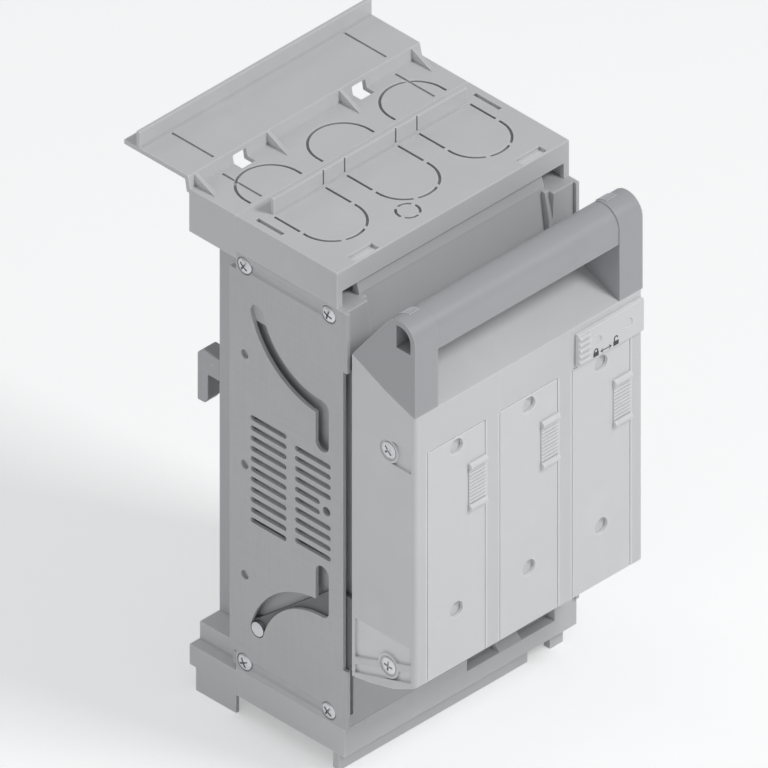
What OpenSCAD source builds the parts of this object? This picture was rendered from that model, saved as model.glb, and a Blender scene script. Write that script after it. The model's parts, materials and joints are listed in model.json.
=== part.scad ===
// Three-pole fuse switch disconnector for blade fuse-links, hooked onto three busbars.
// Millimetres. +Z up, front towards -Y. The origin is the centre of the seat on the middle busbar.

/* [Overall] */
// Width over the side plates and the covers
total_w = 106; // [104:1:114]
// Pitch of the three poles
pitch = 33; // [32:0.5:33.5]
// Depth from the busbar seat to the front of the housing
housing_front = 70.8; // [68:0.2:80]
// Height of a side plate
plate_h = 164.6; // [160:0.2:176]
// Lowest face, on which the device stands
base_drop = 100.3; // [98:0.1:106]

/* [Side plates] */
// Sheet thickness of a side plate
plate_t = 1.5; // [1:0.1:1.8]
// Depth of a side plate from its rear edge to its front edge
plate_d = 51.8; // [50:0.2:53]
// Front tab of a side plate past its front edge
tab_reach = 1.9; // [1:0.1:2]
// Length of a front tab
tab_len = 23.4; // [15:0.2:30]
// Width of a guide slot
slot_w = 6; // [5.6:0.1:7]
// Straight part of a guide slot
slot_rise = 14; // [8:0.5:20]
// Height of a louvre slot
louvre_w = 2; // [1.2:0.1:2.4]
// Length of a louvre slot
louvre_len = 16.3; // [10:0.1:18]
// Pitch of the louvre slots
louvre_pitch = 4.04; // [3.6:0.02:4.4]

/* [Lid] */
// How far each side of the lid stands in from the outside of its side plate
lid_inset = 1; // [1:0.1:2]
// Depth of the lid
lid_d = 28.8; // [27:0.2:32]
// Gap between the housing and the lid
lid_gap = 2.4; // [2.2:0.1:3]
// Wall of the lid
lid_wall = 1.8; // [1.4:0.1:2]
// Front wall of the lid, in which the test covers slide
lid_face = 3.2; // [2.8:0.1:4]
// Height of the front of the lid above the middle
lid_top = 55.5; // [50:0.5:58]
// Height of the foot of the lid's front below the middle
lid_foot = 51.1; // [48:0.5:54]
// Width of a handle arm
arm_w = 10.6; // [8:0.2:14]
// How far the handle arms stand out in front of the grip bar
arm_proud = 0.5; // [0.3:0.1:1]
// Wall of the grip
grip_wall = 2.2; // [1.6:0.1:3]

/* [Lid hinge] */
// Height of the hinge axis below the middle
hinge_drop = 70.5; // [69:0.1:72]
// Distance of the hinge axis behind the front of the housing
hinge_back = 10.25; // [9:0.05:12]
// Radius of the guide pins about the hinge axis
guide_r = 30.8; // [26:0.1:31]
// Diameter of a hinge pin
hinge_d = 6; // [4:0.5:7]
// Diameter of a guide pin
guide_d = 5.4; // [4:0.1:5.4]
// Thickness of a lid cheek
cheek_t = 2; // [1.4:0.1:2]

/* [Test covers] */
// Width of a test cover
cover_w = 26; // [20:0.5:27]
// Thickness of a test cover
cover_t = 1.4; // [1:0.1:1.6]
// Height of the upper edge of a test cover above the middle
cover_top = 39.2; // [36:0.1:39.2]
// Travel of a test cover
cover_travel = 8; // [5:0.5:10]
// Distance between the two test holes
test_gap = 64.3; // [50:0.1:70]
// Diameter of a test hole
test_d = 6; // [4:0.5:7]

/* [Lock slide] */
// Width of the lock slide
lock_w = 30; // [20:0.5:30]
// Height of the lock slide
lock_h = 12.6; // [8:0.2:13]
// Travel of the lock slide
lock_travel = 6; // [4:0.5:8]

/* [Fuse-links] */
// Width of the ceramic body
fuse_w = 28; // [21:0.5:28]
// Depth of the ceramic body
fuse_d = 42; // [36:0.5:42]
// Height of the ceramic body between its end plates
fuse_h = 46; // [42:0.5:47]
// Length over the two blades
blade_span = 78.5; // [76:0.5:80]
// Width of a blade
blade_w = 15; // [12:0.5:15]
// Thickness of a blade
blade_t = 6; // [4:0.5:7]

/* [Terminals] */
// Thread of a terminal bolt
bolt_d = 8; // [6:1:10]
// Length of a terminal bolt under its head
bolt_len = 12; // [10:1:16]
// Thickness of a terminal tongue
lug_t = 3; // [2:0.5:4]
// Width of a terminal tongue
lug_w = 20; // [16:1:24]
// Width of a feed strap
strap_w = 14; // [12:1:18]
// Thickness of a feed strap
strap_t = 3; // [2:0.5:3.5]

/* [Busbars] */
// Spacing of the busbars
bar_pitch = 60; // [50:1:64]
// Height of a busbar that the hooks take
bar_h = 25; // [12:1:30]
// Thickness of a busbar that the hooks take
bar_t = 5; // [5:0.5:6]
// Width of the busbar adapter
adapter_w = 78.6; // [74:0.2:84]

/* [Covers] */
// Wall of the covers
cover_wall = 1.8; // [1.4:0.1:2.4]
// Height of the terminal cover above the side plates
crown_h = 14.1; // [12:0.1:16]
// Reach of the busbar cover behind the busbar seat
shade_reach = 29.9; // [24:0.1:36]
// Rise of the busbar cover's step
shade_step = 4.6; // [3:0.1:6]
// Height of the upright flanges on the covers
flange_h = 6.2; // [4:0.1:8]
// Width of a cable knock-out
knock_w = 23.3; // [18:0.1:25]
// Width of a break line
groove_w = 0.9; // [0.6:0.1:1.2]

/* [Hidden] */
$fn = 48;

// Clearances
run_clear = 0.05;
side_clear = 0.3;
jaw_clear = 0.1;
slide_clear = 0.25;
fit_clear = 0.2;

// Planes
half_w = total_w / 2;
plate_in = half_w - plate_t;
core_half = plate_in - cheek_t - 2 * side_clear;
front_y = -housing_front;
plate_front = front_y + 0.7;
plate_back = plate_front + plate_d;
half_h = plate_h / 2;
notch_y = plate_back - 3;
notch_z = half_h - 7;
lid_back = front_y - lid_gap;
lid_front = lid_back - lid_d;
lid_half = half_w - lid_inset;
hinge_y = front_y + hinge_back;
hinge_z = -hinge_drop;

// Guide pins at rest, seen from the hinge axis: 75 degrees back from straight above it
guide_turn = 75;
guide_y = hinge_y + guide_r * sin(guide_turn);
guide_z = hinge_z + guide_r * cos(guide_turn);

// Poles
pole_x = [-pitch, 0, pitch];
chamber_w = fuse_w + 0.8;
chamber_half_h = 57;
bar_z = [bar_pitch, 0, -bar_pitch];

// Fuse-links
fuse_front = lid_back - 7;
fuse_back = fuse_front + fuse_d;
blade_y = fuse_back - 14;
cap_t = 1.5;
body_half = fuse_h / 2;
cap_half = body_half + cap_t;
blade_tip = blade_span / 2;

// Screws
screw_y = [-25, plate_front + 6.65];
screw_z = half_h - 4;
head_r = 3.1;

// Straight and round-ended shapes in the plane of a side plate
module on_side(x, t) translate([x, 0, 0]) rotate([90, 0, 90]) linear_extrude(t) children();

// A profile in Y and Z, drawn across the width from x0 to x1
module across(x0, x1) translate([x0, 0, 0]) rotate([90, 0, 90]) linear_extrude(x1 - x0) children();

// A block between two corners
module block(a, b) translate(a) cube(b - a);

// A round-ended slot along the first axis
module slot2d(len, w) {
  square([len - w, w], center = true);
  for (s = [-1, 1]) translate([s * (len - w) / 2, 0]) circle(d = w);
}

// A rectangle with round corners, made of true arcs
module round_rect(w, h, r) {
  square([w - 2 * r, h], center = true);
  square([w, h - 2 * r], center = true);
  for (a = [-1, 1], b = [-1, 1]) translate([a * (w / 2 - r), b * (h / 2 - r)]) circle(r);
}

module both_sides() {
  children();
  mirror([1, 0, 0]) children();
}

module both_ends() {
  children();
  mirror([0, 0, 1]) children();
}

// Sizes of the fixed pieces
rear_wall = 3;
seat_top = 58;
rear_seat_y = screw_y[0] - 1.5;
foot_seat_z = -half_h + 4.6;
crown_z = half_h + crown_h;
crown_front = front_y + 3.4;
shroud_z = -half_h - 9.1;
case_floor = -half_h - 10.9;
adapter_top = half_h - 3.3;
adapter_floor = -half_h + 5.5;
feed_x = [for (x = pole_x) x * 0.88];
strap_y = plate_back + 3.3;
pad_half = 9;
tail_z = -52;
jaw_bottom = body_half + cap_t + 4.5;
jaw_top = blade_tip + 4.8;
jaw_front = blade_y - blade_w / 2 - 0.5;
jaw_back = jaw_front + blade_w + 3;
leaf_in = blade_t / 2 + jaw_clear;
leaf_t = 2;
lug_z = half_h - 14;
nut_d = 1.8 * bolt_d;
head_h = 5 / 8 * bolt_d;
nut_h = 6.5 / 8 * bolt_d;
terminal_front = jaw_back - 6;
knock_r = knock_w / 2;
flange_y = notch_y - 8.3;

// Moulded body: three chambers open to the front, terminal spaces above them
module housing() color([0.33, 0.34, 0.36]) difference() {
  union() {
    block([-core_half, front_y, -half_h], [core_half, plate_back, half_h]);
    both_sides() {
      block([core_half - 1, front_y, seat_top], [plate_in, plate_back, half_h]);
      block([core_half - 1, front_y, -half_h], [plate_in, plate_back, foot_seat_z]);
      block([core_half - 1, rear_seat_y, -half_h], [plate_in, notch_y, half_h]);
      block([core_half - 1, notch_y - 1, -notch_z], [plate_in, plate_back, notch_z]);
    }
    brow();
  }
  for (x = pole_x) {
    block([x - chamber_w / 2, front_y - 1, -chamber_half_h],
          [x + chamber_w / 2, plate_back - rear_wall, chamber_half_h]);
    block([x - chamber_w / 2, terminal_front, seat_top - 6],
          [x + chamber_w / 2, plate_back - rear_wall, half_h + 1]);
  }
  for (i = [0:2]) tail_cut(i, plate_back - rear_wall - 1, plate_back + 1);
  finger_recess();
  // Bores of the hinge pins
  both_sides() translate([core_half - hinge_reach, hinge_y, hinge_z]) rotate([0, 90, 0])
    cylinder(h = hinge_reach + 1, d = hinge_d + 2 * run_clear);
  // Pilot holes of the plate screws
  both_sides() for (y = screw_y, z = [-screw_z, screw_z]) translate([plate_in - 6, y, z]) rotate([0, 90, 0])
    cylinder(h = 7, d = 2.5);
}

// How far a hinge pin reaches into the housing
hinge_reach = 5;

// Wall that stands up behind the front skirt of the terminal cover
module brow() across(-recess_half, recess_half) polygon([
  [crown_front + 0.6, half_h - 1], [crown_front + 0.6, half_h + 1], [brow_front, half_h + 5],
  [brow_front, crown_z - cover_wall - 1], [brow_front + 1.8, crown_z - cover_wall - 1], [brow_front + 1.8, half_h - 1]
]);

brow_front = crown_front + cover_wall + 0.2;
recess_half = 42.3;
rib_t = 1.8;

// Sloping pocket for the fingers above the lid, with a rib at each end
module finger_recess() {
  across(-recess_half + rib_t, recess_half - rib_t) polygon([
    [front_y - 1, seat_top + 2], [front_y + 0.8, seat_top + 2], [crown_front + 0.6, half_h],
    [crown_front + 0.6, half_h + 1], [front_y - 1, half_h + 1]
  ]);
  both_sides() across(recess_half - rib_t - 0.1, recess_half) polygon([
    [front_y - 1, seat_top + 14], [front_y, seat_top + 14], [crown_front - 1.2, half_h],
    [crown_front - 1.2, half_h + 1], [front_y - 1, half_h + 1]
  ]);
}

// Edges of the tail of a lower contact, which stay inside the adapter
tail_max = adapter_w / 2 - 1.5;
tail_x0 = [for (i = [0:2]) max(min(pole_x[i], feed_x[i]) - strap_w / 2, -tail_max)];
tail_x1 = [for (i = [0:2]) min(max(pole_x[i], feed_x[i]) + strap_w / 2, tail_max)];

// Way through the rear wall for the tail of a lower contact
module tail_cut(i, from_y, to_y) {
  block([tail_x0[i] - fit_clear, from_y, tail_z - fit_clear],
        [tail_x1[i] + fit_clear, to_y, tail_z + strap_t + fit_clear]);
}

// Rear block that carries the feed straps and sits on the busbars
module busbar_adapter() color([0.33, 0.34, 0.36]) difference() {
  block([-adapter_w / 2, plate_back, adapter_floor], [adapter_w / 2, 0, adapter_top]);
  for (i = [0:2]) {
    low = min(tail_z, bar_z[i] - pad_half) - fit_clear;
    high = max(tail_z + strap_t, bar_z[i] + pad_half) + fit_clear;
    block([feed_x[i] - strap_w / 2 - fit_clear, plate_back - 1, low],
          [feed_x[i] + strap_w / 2 + fit_clear, strap_y + strap_t + fit_clear, high]);
    tail_cut(i, plate_back - 1, strap_y + strap_t + fit_clear);
    block([feed_x[i] - strap_w / 2 - fit_clear, strap_y - 1, bar_z[i] - pad_half - fit_clear],
          [feed_x[i] + strap_w / 2 + fit_clear, 1, bar_z[i] + pad_half + fit_clear]);
  }
}

// Hooks over the middle busbar, one at each side of the adapter
hook_w = 6;
hook_lip = 4.9;
hook_gap = bar_t + 0.4;
hook_top = bar_h / 2 + 10.3;
hook_arm = bar_h / 2 + 0.6;
hook_tip = 1.3;

module busbar_hooks() color([0.55, 0.56, 0.58]) both_sides() across(adapter_w / 2 - hook_w, adapter_w / 2)
  polygon([
    [0, hook_arm], [0, hook_top - 1], [hook_gap + hook_lip - 3, hook_top], [hook_gap + hook_lip, hook_top - 3],
    [hook_gap + hook_lip, hook_tip], [hook_gap + 1.5, hook_tip], [hook_gap, hook_tip + 2], [hook_gap, hook_arm]
  ]);

// Stepped cover under the adapter, with a skirt at each side
module lower_shroud() color([0.62, 0.63, 0.65]) difference() {
  union() {
    block([-half_w + 4.7, plate_back, -half_h - 1.1], [half_w - 4.7, 0, adapter_floor]);
    block([-half_w, notch_y, shroud_z], [half_w, 0, -half_h - 1.1]);
    both_sides() block([half_w - plate_t, notch_y, -base_drop], [half_w, -2.9, shroud_z + 1]);
  }
  block([-half_w + plate_t, notch_y + cover_wall, shroud_z - 1],
        [half_w - plate_t, -cover_wall, -half_h - 1.1 - cover_wall]);
}

// Cover of the lower end, with its feet and latch windows
foot_t = 3;
window_w = 40;

module bottom_cover() color([0.62, 0.63, 0.65]) difference() {
  union() {
    block([-half_w, front_y, case_floor], [half_w, notch_y, -half_h]);
    block([-half_w + 0.8, front_y + 3.2, -base_drop], [33.8, front_y + 3.2 + foot_t, case_floor + 1]);
    block([44, front_y + 3.2, -base_drop], [half_w - 3, front_y + 3.2 + foot_t, case_floor + 1]);
  }
  block([-half_w + cover_wall, front_y + 3.2 + foot_t, case_floor - 1],
        [half_w - cover_wall, notch_y - cover_wall, -half_h - cover_wall]);
  both_sides() difference() {
    block([3, front_y - 1, -half_h - 4.7], [3 + window_w, front_y + 4, -half_h + 1]);
    across(3 + window_w / 2 - 5, 3 + window_w / 2 + 5) polygon([
      [front_y, -half_h - 4.8], [front_y + 4.1, -half_h - 4.8], [front_y + 4.1, -half_h - 0.6]
    ]);
  }
}

// Outline of a cable knock-out, a slot that runs from front to back, as a dashed groove
knock_front = front_y + 26;
knock_back = notch_y + 4;

module knock_outline() difference() {
  translate([0, (knock_front + knock_back) / 2]) rotate(90)
    slot2d(knock_back - knock_front + knock_w + groove_w, knock_w + groove_w);
  translate([0, (knock_front + knock_back) / 2]) rotate(90)
    slot2d(knock_back - knock_front + knock_w - groove_w, knock_w - groove_w);
  for (y = [knock_front + 2, knock_back - 3, flange_y]) translate([0, y])
    square([knock_w + 4, 1.4], center = true);
  square_y = knock_front - knock_r;
  for (s = [-1, 1]) translate([s * 5, square_y]) square([1.4, 6], center = true);
}

// Terminal cover: knock-outs, upright flange, latch windows
module top_cover() color([0.62, 0.63, 0.65]) difference() {
  union() {
    difference() {
      block([-half_w, crown_front, half_h], [half_w, notch_y, crown_z]);
      block([-half_w + cover_wall, crown_front + cover_wall, half_h - 1],
            [half_w - cover_wall, notch_y + 1, crown_z - cover_wall]);
      block([-half_w + 2.5, crown_front - 1, half_h - 1], [half_w - 2.5, crown_front + cover_wall + 0.1, half_h + 6]);
    }
    block([-half_w + 8.8, flange_y, crown_z - 0.5], [half_w - 8.8, flange_y + 1.3, crown_z + flange_h]);
  }
  for (x = pole_x) translate([x, 0, crown_z - 1.1]) linear_extrude(2) intersection() {
    knock_outline();
    translate([-half_w, crown_front]) square([total_w, flange_y - crown_front - 0.6]);
  }
  // Score lines that let a piece of the flange break out with its knock-out
  for (x = pole_x, s = [-1, 1]) translate([x + s * knock_r, 0, 0])
    block([-0.3, flange_y - 1, crown_z + 0.4], [0.3, flange_y + 0.7, crown_z + flange_h + 1]);
  translate([-11.7, crown_front + 9, crown_z - 1.1]) linear_extrude(2) difference() {
    circle(d = 8 + groove_w);
    circle(d = 8 - groove_w);
    for (a = [20, 110]) rotate(a) square([12, 1.3], center = true);
  }
  both_sides() {
    block([32.8, crown_front + 1, crown_z - 1.4], [43.8, crown_front + 4.6, crown_z + 1]);
    block([half_w - 4.2, flange_y - 9.7, crown_z - 1.2], [half_w - 2.7, flange_y + 2.3, crown_z + 1]);
  }
}

// Cover over the upper busbar: step, gussets, catch windows and an upright flange near its rear edge
step_y = 0.7;
shade_z = crown_z + shade_step;
ledge_y = shade_reach - 7.2;
gusset_x = [-half_w + 3.5, -pitch / 2, pitch / 2, half_w - 3.5];

module busbar_cover() color([0.62, 0.63, 0.65]) difference() {
  union() {
    across(-half_w, half_w) polygon([
      [notch_y, crown_z - cover_wall], [notch_y, crown_z], [step_y - 1, crown_z], [step_y, shade_z],
      [ledge_y, shade_z], [ledge_y, shade_z + flange_h], [ledge_y + 1.5, shade_z + flange_h],
      [ledge_y + 1.5, shade_z], [shade_reach, shade_z], [shade_reach, shade_z - cover_wall],
      [step_y + 1.4, shade_z - cover_wall], [step_y + 0.6, crown_z - cover_wall]
    ]);
    both_sides() block([plate_in, notch_y, adapter_top + 0.5], [half_w, step_y - 0.5, crown_z - cover_wall]);
    for (x = gusset_x) across(x - 0.8, x + 0.8) polygon([
      [step_y + 0.1, shade_z - 0.3], [step_y - 10, crown_z], [step_y - 10, crown_z - 1], [step_y + 0.1, crown_z - 1]
    ]);
  }
  for (x = pole_x) translate([x, 0, crown_z - 1.1]) linear_extrude(2) intersection() {
    knock_outline();
    translate([-half_w, notch_y + 0.5]) square([total_w, 16.5]);
  }
  // Catch windows through the floor and the riser of the step
  for (x = [-29.8, 24.5]) block([x - 3, step_y - 4.6, crown_z - cover_wall - 1],
                                [x + 3, step_y + 1.8, shade_z - cover_wall]);
  both_sides() {
    block([half_w - 14, step_y + 2, shade_z - 0.7], [half_w - 14 + groove_w, ledge_y - 1, shade_z + 1]);
    block([half_w - 14, notch_y + 2, crown_z - 0.7], [half_w - 14 + groove_w, step_y - 2, crown_z + 1]);
  }
}

// Centre line of the guide slots: an arc about a hinge axis, then a straight rise above it
module guide_slot() translate([hinge_y, hinge_z]) {
  difference() {
    intersection() {
      circle(guide_r + slot_w / 2);
      polygon([[0, 0], [0, 2 * guide_r], 2 * guide_r * [tan(guide_turn), 1]]);
    }
    circle(guide_r - slot_w / 2);
  }
  translate([guide_r * sin(guide_turn), guide_r * cos(guide_turn)]) circle(d = slot_w);
  translate([-slot_w / 2, guide_r]) square([slot_w, slot_rise]);
  translate([0, guide_r]) circle(d = slot_w);
  translate([0, guide_r + slot_rise]) circle(d = slot_w);
}

louvre_y = [plate_back - 17.75, plate_back - 37.95];

// Outline of a side plate with all its openings
module plate_outline() difference() {
  union() {
    translate([plate_front, -half_h]) square([notch_y - plate_front, plate_h]);
    translate([plate_front, -notch_z]) square([plate_d, 2 * notch_z]);
    for (z = [-half_h, half_h - tab_len]) translate([plate_front - tab_reach, z]) square([tab_reach + 1, tab_len]);
  }
  guide_slot();
  mirror([0, 1]) guide_slot();
  for (i = [-5:5]) translate([louvre_y[0], i * louvre_pitch]) slot2d(louvre_len, louvre_w);
  for (i = [0:9]) {
    short = (i == 4 || i == 5) ? 5 : 0;
    translate([louvre_y[1] + short / 2, (i - 4.5) * louvre_pitch]) slot2d(louvre_len - short, louvre_w);
  }
  for (z = [-43.6, 0, 43.6]) translate([screw_y[0] - 0.2, z]) circle(d = 3.4);
  translate([plate_front + 7.6, 0]) circle(d = 3.4);
  for (y = screw_y, z = [-screw_z, screw_z]) translate([y, z]) circle(d = 3);
}

// Side plate, with a pressed channel between the screws at each end
module side_plate() difference() {
  on_side(plate_in, plate_t) plate_outline();
  both_ends() translate([half_w + 1.4, screw_y[1], screw_z]) rotate([-90, 0, 0])
    cylinder(h = screw_y[0] - screw_y[1], r = 2.3);
  for (y = screw_y, z = [-screw_z, screw_z]) translate([half_w - 0.8, y, z]) rotate([0, 90, 0])
    cylinder(h = 2, r = head_r + 0.3);
}

module side_plate_right() color([0.72, 0.73, 0.74]) side_plate();
module side_plate_left() color([0.72, 0.73, 0.74]) mirror([1, 0, 0]) side_plate();

// Screws that hold the side plates, heads seated in the ends of the channels
module plate_screws() color([0.8, 0.8, 0.82]) both_sides() for (y = screw_y, z = [-screw_z, screw_z])
  translate([0, y, z]) rotate([0, 90, 0]) difference() {
    union() {
      translate([0, 0, plate_in - 5.5]) cylinder(h = 7, d = 2.5);
      translate([0, 0, half_w - 0.8]) cylinder(h = 1.4, r = head_r);
    }
    translate([0, 0, half_w + 0.1]) for (a = [0, 90]) rotate(a) translate([-2, -0.35, 0]) cube([4, 0.7, 1]);
  }

// Contact jaws: two leaves round the blade, joined behind it
module jaw(x) {
  for (s = [-1, 1]) translate([x + s * (leaf_in + leaf_t / 2), 0, 0])
    block([-leaf_t / 2, jaw_front, jaw_bottom], [leaf_t / 2, jaw_back, jaw_top]);
  block([x - leaf_in - leaf_t, jaw_back, jaw_bottom], [x + leaf_in + leaf_t, jaw_back + 2.5, jaw_top]);
}

// Upper contact: jaw and the terminal tongue above it
module upper_contact(i) color([0.78, 0.55, 0.36]) difference() {
  union() {
    jaw(pole_x[i]);
    block([pole_x[i] - lug_w / 2, jaw_back, jaw_bottom + 6], [pole_x[i] + lug_w / 2, jaw_back + lug_t, half_h - 3]);
  }
  translate([pole_x[i], jaw_back - 1, lug_z]) rotate([-90, 0, 0]) cylinder(h = lug_t + 2, d = bolt_d + 0.6);
}

// Lower contact: jaw, tail through the rear wall, feed strap and the pad on its busbar
module lower_contact(i) color([0.78, 0.55, 0.36]) {
  mirror([0, 0, 1]) jaw(pole_x[i]);
  block([pole_x[i] - 5, jaw_back, tail_z], [pole_x[i] + 5, jaw_back + 2.5, -jaw_top + 1]);
  block([tail_x0[i], jaw_back, tail_z], [tail_x1[i], strap_y + strap_t, tail_z + strap_t]);
  block([feed_x[i] - strap_w / 2, strap_y, min(tail_z, bar_z[i] - pad_half)],
        [feed_x[i] + strap_w / 2, strap_y + strap_t, max(tail_z + strap_t, bar_z[i] + pad_half)]);
  block([feed_x[i] - strap_w / 2, strap_y, bar_z[i] - pad_half], [feed_x[i] + strap_w / 2, 0, bar_z[i] + pad_half]);
}

// Steel clips that press the jaw leaves together
clip_t = 0.8;
clip_in = leaf_in + leaf_t;

module jaw_springs() color([0.82, 0.82, 0.84]) both_ends() for (x = pole_x) {
  for (s = [0, 1]) translate([x, 0, 0]) mirror([s, 0, 0])
    block([clip_in, jaw_front + 3, jaw_bottom + 1.5], [clip_in + clip_t, jaw_back - 2, jaw_top + clip_t]);
  block([x - clip_in - clip_t, jaw_front + 3, jaw_top], [x + clip_in + clip_t, jaw_back - 2, jaw_top + clip_t]);
}

// Terminal bolts with their nuts
module terminal_bolts() color([0.8, 0.8, 0.82]) for (x = pole_x) translate([x, jaw_back, lug_z])
  rotate([-90, 0, 0]) {
  translate([0, 0, -head_h]) cylinder(h = head_h, d = nut_d, $fn = 6);
  translate([0, 0, -0.1]) cylinder(h = bolt_len, d = bolt_d);
  translate([0, 0, lug_t]) cylinder(h = nut_h, d = nut_d, $fn = 6);
}

// Sizes of the lid
foot_back_z = -lid_foot - 9;
deck_back_z = lid_top + 11.7;
lid_in = lid_half - lid_wall;
face_in = lid_front + lid_face;
cover_depth = cover_t + 0.2;
track_t = 0.8;
track_w = 0.7;
part_t = 2.4;

// Upper and lower edges of the lid, seen from the side
deck_line = [[lid_front, lid_top], [lid_front + lid_d * 0.52, lid_top + 5.4], [lid_back, deck_back_z]];
foot_line = [
  [lid_back, foot_back_z], [lid_back - lid_d * 0.28, foot_back_z + 1.3],
  [lid_back - lid_d * 0.66, foot_back_z + 4.2], [lid_front, -lid_foot]
];

// Lid: shell with a wall between the poles, tracks for the test covers, sockets for the fuse-links
module lid_shell() color([0.60, 0.61, 0.63]) difference() {
  union() {
    difference() {
      across(-lid_half, lid_half) polygon(concat(foot_line, deck_line));
      lid_hollow();
    }
    for (x = [-pitch / 2, pitch / 2]) across(x - part_t / 2, x + part_t / 2) polygon(concat(foot_line, deck_line));
    for (x = pole_x, s = [-1, 1]) lug_socket(x, s);
  }
  for (x = pole_x) {
    track(x);
    for (z = test_z) translate([x, lid_front - 1, z - cover_travel]) rotate([-90, 0, 0])
      cylinder(h = lid_face + 2, d = test_d - 0.4);
  }
  lock_slot();
  both_sides() {
    corner_round();
    side_pocket();
  }
  // Screw pockets in the side walls
  both_sides() for (z = boss_z) translate([lid_half - 2.5, boss_y, z]) rotate([0, 90, 0]) cylinder(h = 4, d = 3.2);
  both_sides() for (z = boss_z) translate([lid_half - 0.7, boss_y, z]) rotate([0, 90, 0]) cylinder(h = 4, d = 7.6);
}

boss_y = lid_back - 16.4;
boss_z = [-48, 37.2];
boss_r = 4.6;
corner_r = 1.6;
test_z = [cover_top - 3.8, cover_top - 3.8 - test_gap];

// Rounding of the upright edge between the front and a side of the lid
module corner_round() difference() {
  block([lid_half - corner_r, lid_front - 1, -lid_foot - 2], [lid_half + 1, lid_front + corner_r, lid_top + 2]);
  translate([lid_half - corner_r, lid_front + corner_r, -lid_foot - 3]) cylinder(h = lid_foot + lid_top + 6, r = corner_r);
}

// Recess low in a side wall, crossed by the sloping band that carries the lower boss
pocket_top = -36.5;
pocket_depth = 1.1;
band_w = 3;

module side_pocket() {
  front = lid_front + corner_r + 0.4;
  back = lid_back - 1.2;
  fall = 9 / (back - front);
  band = boss_z[0] + fall * (boss_y - front) + band_w / 2;
  across(lid_half - pocket_depth, lid_half + 1) difference() {
    polygon([[front, pocket_top], [back, pocket_top], [back, foot_back_z + 2], [front, -lid_foot + 1.2]]);
    polygon([
      [front - 1, band + fall], [back + 1, band - fall * (back + 1 - front)],
      [back + 1, band - band_w - fall * (back + 1 - front)], [front - 1, band - band_w + fall]
    ]);
    translate([boss_y, boss_z[0]]) circle(boss_r);
  }
}

// Space inside the lid, open at the back
module lid_hollow() {
  inner = concat(
    [[lid_back + 1, foot_back_z + lid_wall], foot_line[1] + [0, lid_wall], foot_line[2] + [0, lid_wall]],
    [[face_in, -lid_foot + lid_wall + 0.6], [face_in, lid_top - lid_wall], deck_line[1] - [0, lid_wall]],
    [[lid_back + 1, deck_back_z - lid_wall]]
  );
  across(-lid_in, lid_in) polygon(inner);
}

// Two ribs that hold a gripping lug of a fuse-link between them
lug_in = body_half - 1.5;

module lug_socket(x, s) {
  for (z = [lug_in - 2.4, cap_half + fit_clear]) {
    low = s * (z + (s < 0 ? 2.2 : 0));
    block([x - 8, face_in - 0.5, low], [x + 8, fuse_front - 4, low + 2.2]);
  }
}

// Recess of a test cover: open at the foot, with an undercut at each side
module track(x) {
  block([x - cover_w / 2 - slide_clear, lid_front - 1, -lid_foot - 20],
        [x + cover_w / 2 + slide_clear, lid_front + cover_depth, cover_top + slide_clear]);
  block([x - cover_w / 2 - track_w - slide_clear, lid_front + cover_depth - track_t - 0.2, -lid_foot - 20],
        [x + cover_w / 2 + track_w + slide_clear, lid_front + cover_depth, cover_top + slide_clear]);
}

// Sliding test cover: plate with side flanges, two test holes and a ribbed thumb grip
grip_len = 18.2;
grip_w = 7.6;
end_rib_r = 1.3;
fine_rib_r = 0.65;

module test_cover(i) color([0.80, 0.81, 0.82]) {
  x = pole_x[i];
  back = lid_front + cover_depth - 0.1;
  difference() {
    union() {
      block([x - cover_w / 2, back - cover_t, -lid_foot], [x + cover_w / 2, back, cover_top]);
      block([x - cover_w / 2 - track_w, back - track_t, -lid_foot], [x + cover_w / 2 + track_w, back, cover_top]);
    }
    for (z = test_z) translate([x, back - cover_t - 1, z]) rotate([-90, 0, 0]) cylinder(h = cover_t + 2, d = test_d);
  }
  grip_x = x + cover_w / 2 - grip_w;
  grip_z = cover_top - 31.5;
  translate([grip_x, back - cover_t, grip_z]) {
    for (z = [1, grip_len - 1]) translate([0, -0.4, z]) rotate([0, 90, 0]) cylinder(h = grip_w, r = end_rib_r);
    for (k = [0:9]) translate([0, 0, 3 + k * (grip_len - 6) / 9]) rotate([0, 90, 0]) cylinder(h = grip_w, r = fine_rib_r);
    translate([0, -0.3, 1]) cube([grip_w, 0.5, grip_len - 2]);
  }
}

// Slot of the lock slide in the front wall
lock_x = half_w - 32;
lock_z = cover_top + 1.2;
stem_h = 5;

module lock_slot() {
  z = lock_z + (lock_h - stem_h) / 2;
  block([lock_x + 8 - lock_travel - fit_clear, lid_front - 1, z - fit_clear],
        [lock_x + lock_w - 8 + fit_clear, face_in + 1, z + stem_h + fit_clear]);
}

// Lock slide: front plate with a thumb pad, stem through the slot and a keeper behind it
module lock_slide() color([0.70, 0.71, 0.73]) {
  z = lock_z + (lock_h - stem_h) / 2;
  front = lid_front - 0.1;
  difference() {
    block([lock_x, front - 1.5, lock_z], [lock_x + lock_w, front, lock_z + lock_h]);
    for (x = [lock_x + 9, lock_x + lock_w - 7]) translate([x, front - 2, lock_z + lock_h / 2]) rotate([-90, 0, 0])
      cylinder(h = 0.9, d = 3.4);
  }
  block([lock_x + 8, front - 0.5, z], [lock_x + lock_w - 8, face_in + 0.1, z + stem_h]);
  block([lock_x + 8, face_in + 0.1, z - 2], [lock_x + lock_w - 8, face_in + 1.5, z + stem_h + 2]);
  for (k = [0:4]) translate([lock_x + 0.2, front - 1.5, lock_z + 1.6 + k * (lock_h - 3.2) / 4]) rotate([0, 90, 0])
    cylinder(h = 5, r = 0.8);
}

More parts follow.
